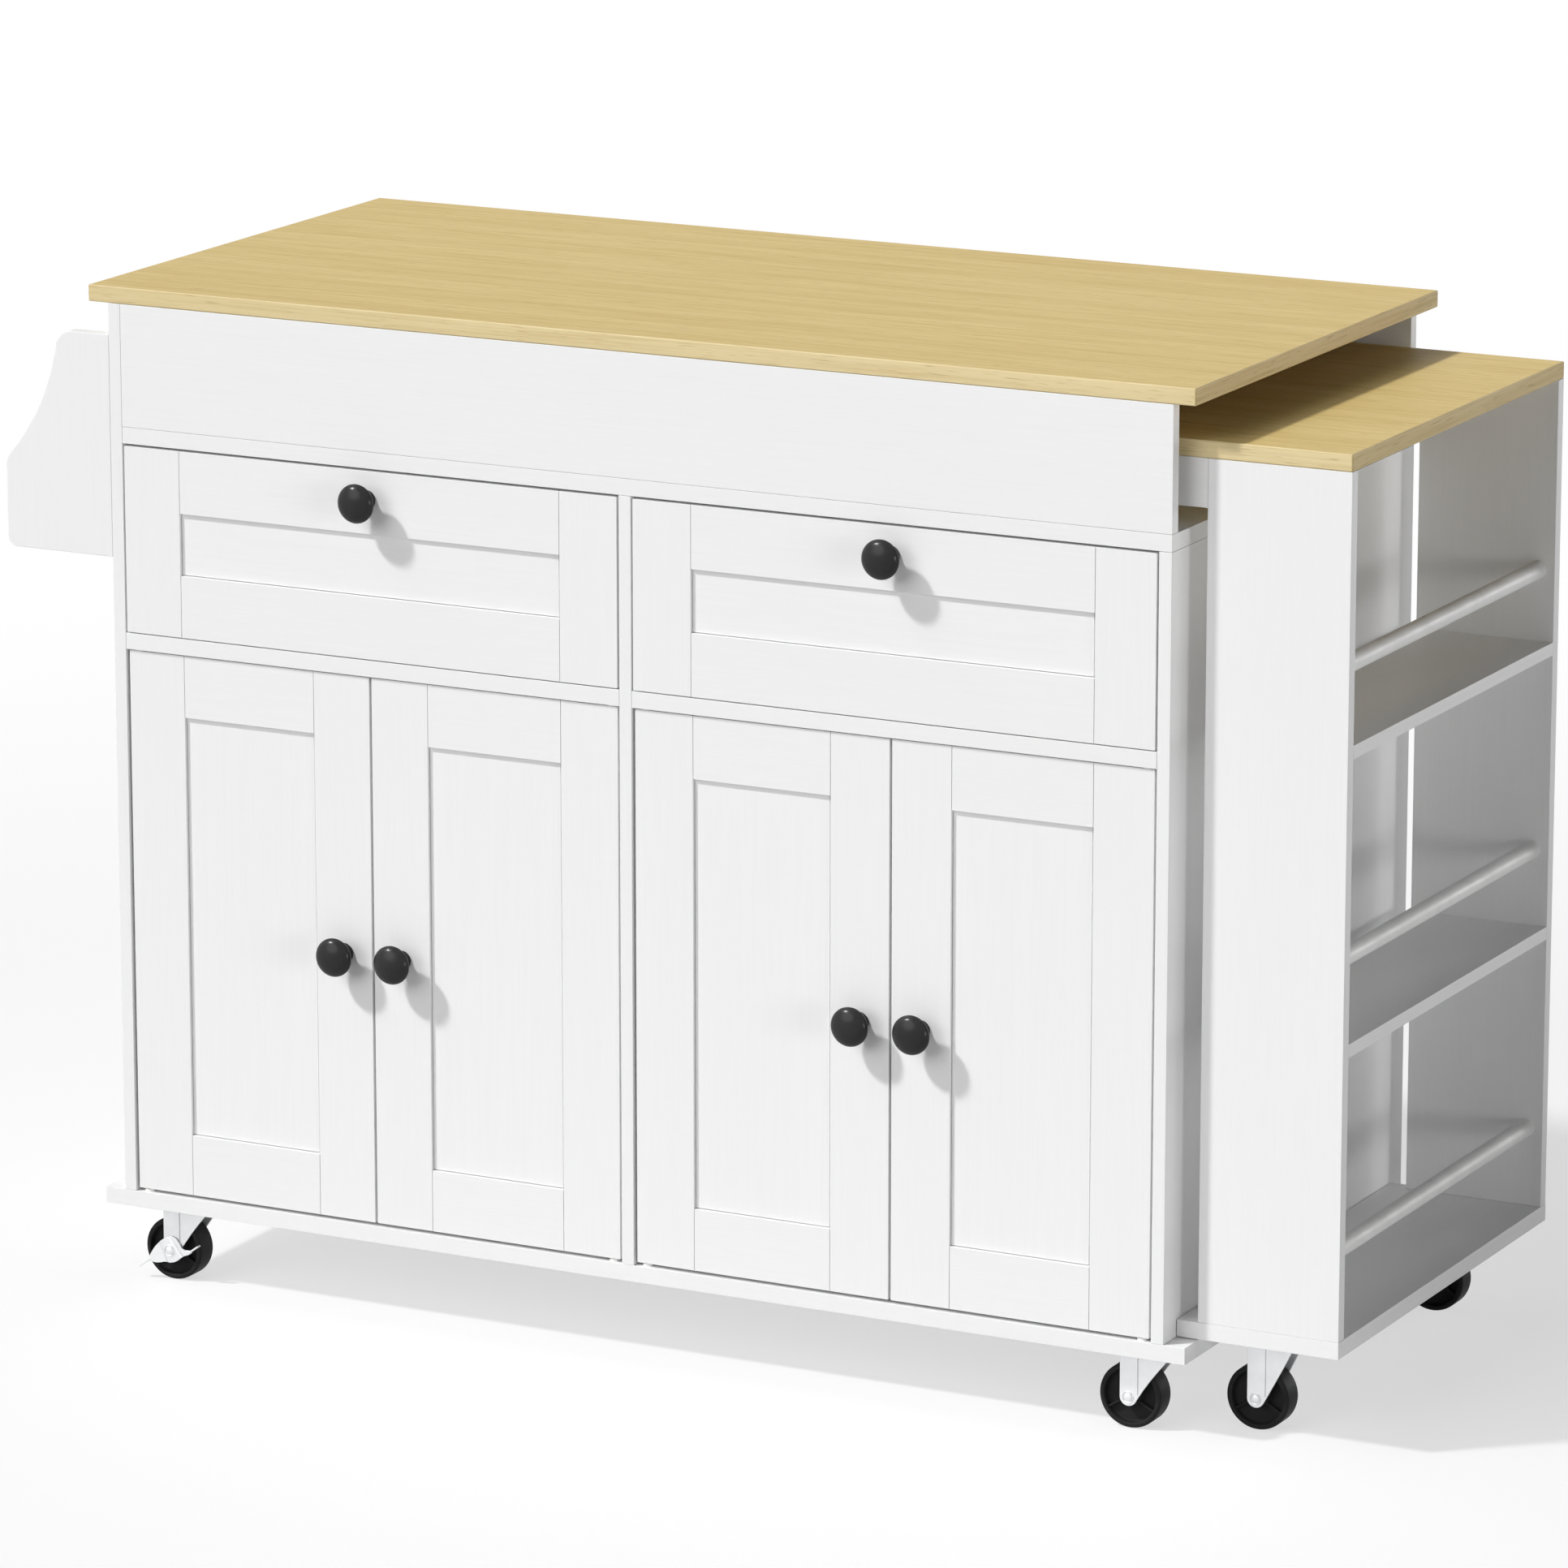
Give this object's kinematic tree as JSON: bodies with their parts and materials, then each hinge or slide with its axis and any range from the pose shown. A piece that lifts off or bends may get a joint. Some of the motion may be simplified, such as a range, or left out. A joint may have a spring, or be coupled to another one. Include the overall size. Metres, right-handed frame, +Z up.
{
  "type": "kitchen island",
  "caption": "White kitchen island on casters with an oak-look worktop, shaker doors and drawers, a towel rack and an open shelf unit whose own top slides out at one end.",
  "frame": {"origin": "on the floor, under the centre of the bounding box", "axes": "+X along the island's length, from the towel rack to the extension unit; the doors and drawers face -Y; +Z up"},
  "size_m": [1.289, 0.5426, 0.914],
  "materials": {
    "white_laminate": "white woodgrain-embossed laminate on board",
    "oak_laminate": "light oak laminate, matt",
    "white_dowel": "turned dowel, painted white",
    "black_paint": "satin black powder coat",
    "bright_zinc": "pressed sheet steel, bright zinc-plated",
    "zinc_steel": "zinc-plated steel",
    "black_plastic": "moulded, lightly worn",
    "white_plastic": "moulded"
  },
  "bodies": {
    "cabinet": {"base_board": "white_laminate", "left_side_panel": "white_laminate", "right_side_panel": "white_laminate", "center_divider": "white_laminate", "deck_board": "white_laminate", "mid_rails": "white_laminate", "front_fascia": "white_laminate", "rear_fascia": "white_laminate", "back_panels": "white_laminate", "worktop": "oak_laminate", "inner_shelves": "white_laminate", "shelf_pins": "zinc_steel", "drawer_runners": "zinc_steel", "door_hardware": "white_plastic", "rack_panels": "white_laminate", "towel_rod": "white_dowel", "caster_plates": "zinc_steel", "slide_guides": "white_laminate"},
    "extension": {"extension_top": "oak_laminate", "extension_aprons": "white_laminate", "extension_panels": "white_laminate", "extension_shelves": "white_laminate", "extension_base": "white_laminate", "extension_rails": "white_dowel", "extension_glides": "white_plastic", "extension_caster_plates": "zinc_steel"},
    "left_drawer": {"left_drawer_front": "white_laminate", "left_drawer_box": "white_laminate", "left_drawer_slides": "zinc_steel", "left_drawer_knob": "black_paint"},
    "right_drawer": {"right_drawer_front": "white_laminate", "right_drawer_box": "white_laminate", "right_drawer_slides": "zinc_steel", "right_drawer_knob": "black_paint"},
    "door_1": {"door_1_frame": "white_laminate", "door_1_panel": "white_laminate", "door_1_knob": "black_paint"},
    "door_2": {"door_2_frame": "white_laminate", "door_2_panel": "white_laminate", "door_2_knob": "black_paint"},
    "door_3": {"door_3_frame": "white_laminate", "door_3_panel": "white_laminate", "door_3_knob": "black_paint"},
    "door_4": {"door_4_frame": "white_laminate", "door_4_panel": "white_laminate", "door_4_knob": "black_paint"},
    "front_left_fork": {"front_left_fork": "bright_zinc"},
    "front_left_wheel": {"front_left_wheel": "black_plastic"},
    "rear_left_fork": {"rear_left_fork": "bright_zinc"},
    "rear_left_wheel": {"rear_left_wheel": "black_plastic"},
    "front_right_fork": {"front_right_fork": "bright_zinc"},
    "front_right_wheel": {"front_right_wheel": "black_plastic"},
    "rear_right_fork": {"rear_right_fork": "bright_zinc"},
    "rear_right_wheel": {"rear_right_wheel": "black_plastic"},
    "extension_front_fork": {"extension_front_fork": "bright_zinc"},
    "extension_front_wheel": {"extension_front_wheel": "black_plastic"},
    "extension_rear_fork": {"extension_rear_fork": "bright_zinc"},
    "extension_rear_wheel": {"extension_rear_wheel": "black_plastic"},
    "front_left_brake_lever": {"front_left_brake_lever": "bright_zinc"},
    "rear_left_brake_lever": {"rear_left_brake_lever": "bright_zinc"}
  },
  "joints": [
    {"name": "door_1_hinge", "type": "hinge", "parent": "cabinet", "child": "door_1", "pos_m": [-0.513, -0.23675, 0.338], "axis": [0, 0, -1], "range_deg": [0, 110]},
    {"name": "door_2_hinge", "type": "hinge", "parent": "cabinet", "child": "door_2", "pos_m": [-0.037, -0.23675, 0.338], "axis": [0, 0, 1], "range_deg": [0, 84]},
    {"name": "door_3_hinge", "type": "hinge", "parent": "cabinet", "child": "door_3", "pos_m": [-0.004, -0.23675, 0.338], "axis": [0, 0, -1], "range_deg": [0, 84]},
    {"name": "door_4_hinge", "type": "hinge", "parent": "cabinet", "child": "door_4", "pos_m": [0.472, -0.23675, 0.338], "axis": [0, 0, 1], "range_deg": [0, 110]},
    {"name": "left_drawer_slide", "type": "slide", "parent": "cabinet", "child": "left_drawer", "axis": [0, -1, 0], "range_m": [0, 0.35]},
    {"name": "right_drawer_slide", "type": "slide", "parent": "cabinet", "child": "right_drawer", "axis": [0, -1, 0], "range_m": [0, 0.35]},
    {"name": "extension_slide", "type": "slide", "parent": "cabinet", "child": "extension", "axis": [1, 0, 0], "range_m": [0, 0.5]},
    {"name": "front_left_swivel", "type": "hinge", "parent": "cabinet", "child": "front_left_fork", "pos_m": [-0.4865, -0.20775, 0.06], "axis": [0, 0, 1], "continuous": true},
    {"name": "front_left_spin", "type": "hinge", "parent": "front_left_fork", "child": "front_left_wheel", "pos_m": [-0.5005, -0.20775, 0.029], "axis": [0, 1, 0], "continuous": true},
    {"name": "front_left_brake", "type": "hinge", "parent": "front_left_fork", "child": "front_left_brake_lever", "pos_m": [-0.5005, -0.20775, 0.029], "axis": [0, 1, 0], "range_deg": [0, 25]},
    {"name": "rear_left_swivel", "type": "hinge", "parent": "cabinet", "child": "rear_left_fork", "pos_m": [-0.4865, 0.23525, 0.06], "axis": [0, 0, 1], "continuous": true},
    {"name": "rear_left_spin", "type": "hinge", "parent": "rear_left_fork", "child": "rear_left_wheel", "pos_m": [-0.5005, 0.23525, 0.029], "axis": [0, 1, 0], "continuous": true},
    {"name": "rear_left_brake", "type": "hinge", "parent": "rear_left_fork", "child": "rear_left_brake_lever", "pos_m": [-0.5005, 0.23525, 0.029], "axis": [0, 1, 0], "range_deg": [0, 25]},
    {"name": "front_right_swivel", "type": "hinge", "parent": "cabinet", "child": "front_right_fork", "pos_m": [0.4665, -0.20775, 0.06], "axis": [0, 0, 1], "continuous": true},
    {"name": "front_right_spin", "type": "hinge", "parent": "front_right_fork", "child": "front_right_wheel", "pos_m": [0.4525, -0.20775, 0.029], "axis": [0, 1, 0], "continuous": true},
    {"name": "rear_right_swivel", "type": "hinge", "parent": "cabinet", "child": "rear_right_fork", "pos_m": [0.4665, 0.23525, 0.06], "axis": [0, 0, 1], "continuous": true},
    {"name": "rear_right_spin", "type": "hinge", "parent": "rear_right_fork", "child": "rear_right_wheel", "pos_m": [0.4525, 0.23525, 0.029], "axis": [0, 1, 0], "continuous": true},
    {"name": "extension_front_swivel", "type": "hinge", "parent": "extension", "child": "extension_front_fork", "pos_m": [0.5655, -0.16275, 0.06], "axis": [0, 0, 1], "continuous": true},
    {"name": "extension_front_spin", "type": "hinge", "parent": "extension_front_fork", "child": "extension_front_wheel", "pos_m": [0.5515, -0.16275, 0.029], "axis": [0, 1, 0], "continuous": true},
    {"name": "extension_rear_swivel", "type": "hinge", "parent": "extension", "child": "extension_rear_fork", "pos_m": [0.5655, 0.22225, 0.06], "axis": [0, 0, 1], "continuous": true},
    {"name": "extension_rear_spin", "type": "hinge", "parent": "extension_rear_fork", "child": "extension_rear_wheel", "pos_m": [0.5515, 0.22225, 0.029], "axis": [0, 1, 0], "continuous": true}
  ]
}
